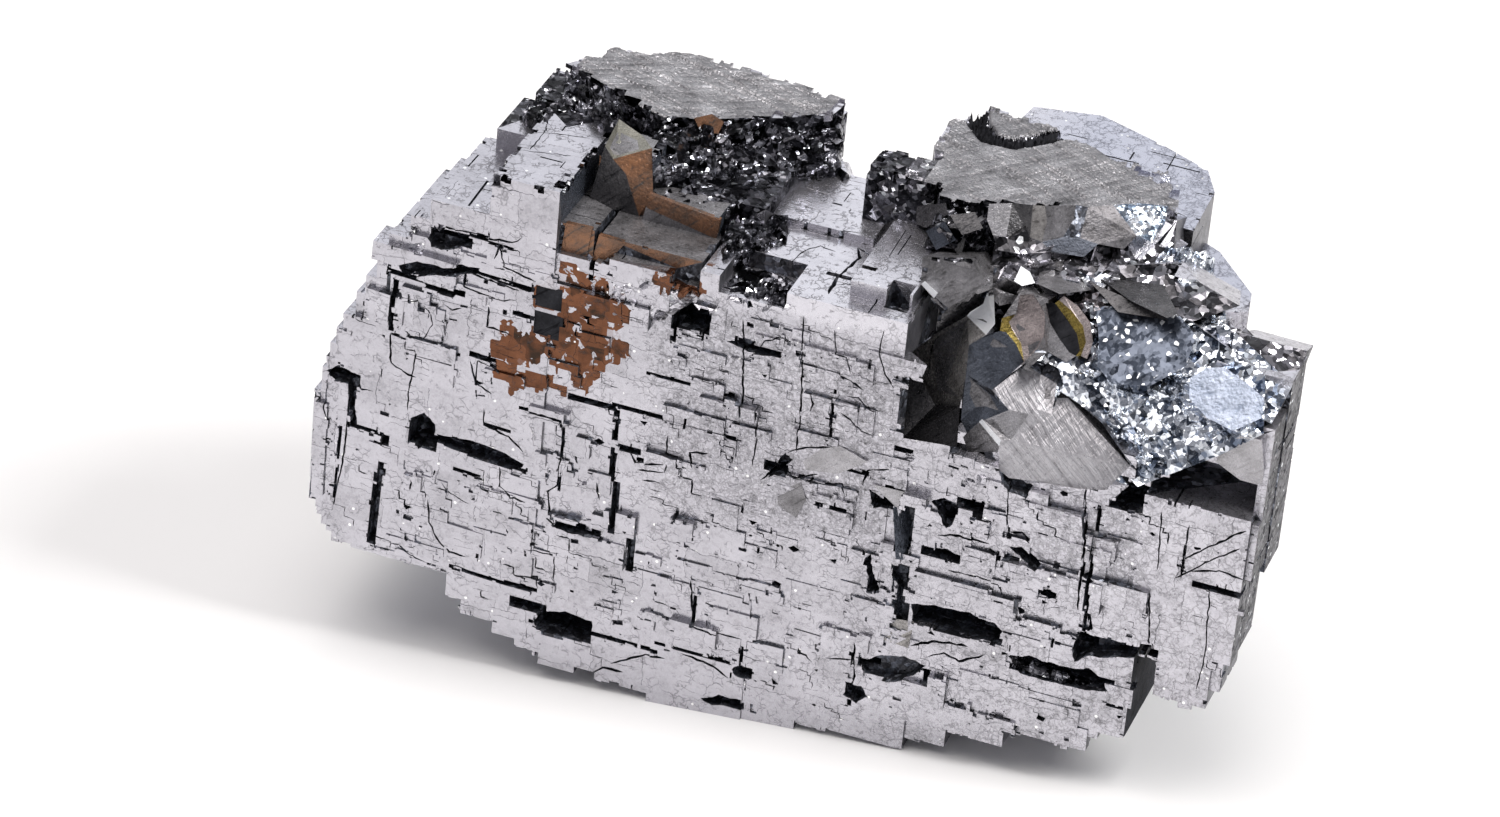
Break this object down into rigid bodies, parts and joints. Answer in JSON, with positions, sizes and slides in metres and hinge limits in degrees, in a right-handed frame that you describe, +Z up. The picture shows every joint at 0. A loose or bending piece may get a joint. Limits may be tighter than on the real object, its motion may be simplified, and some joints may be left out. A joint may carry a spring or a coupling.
{
  "type": "galena crystal cluster",
  "caption": "Hand specimen of galena: stepped cubic crystals grown together, with grooved cleavage faces and a broken, sparkling hollow.",
  "frame": {"origin": "centre of the footprint's bounding box, on the plane that the cluster rests on", "axes": "+X along the longest side, towards the open hollow; -Y out of the big grooved front face; +Z up"},
  "size_m": [0.077, 0.0348, 0.0451],
  "materials": {
    "galena_crystal": "bright metallic lead-grey cleavage faces with a faint violet cast, fine square cracks and a few copper-brown tarnished patches"
  },
  "bodies": {
    "root": {"galena_crystal": "galena_crystal"}
  },
  "joints": []
}
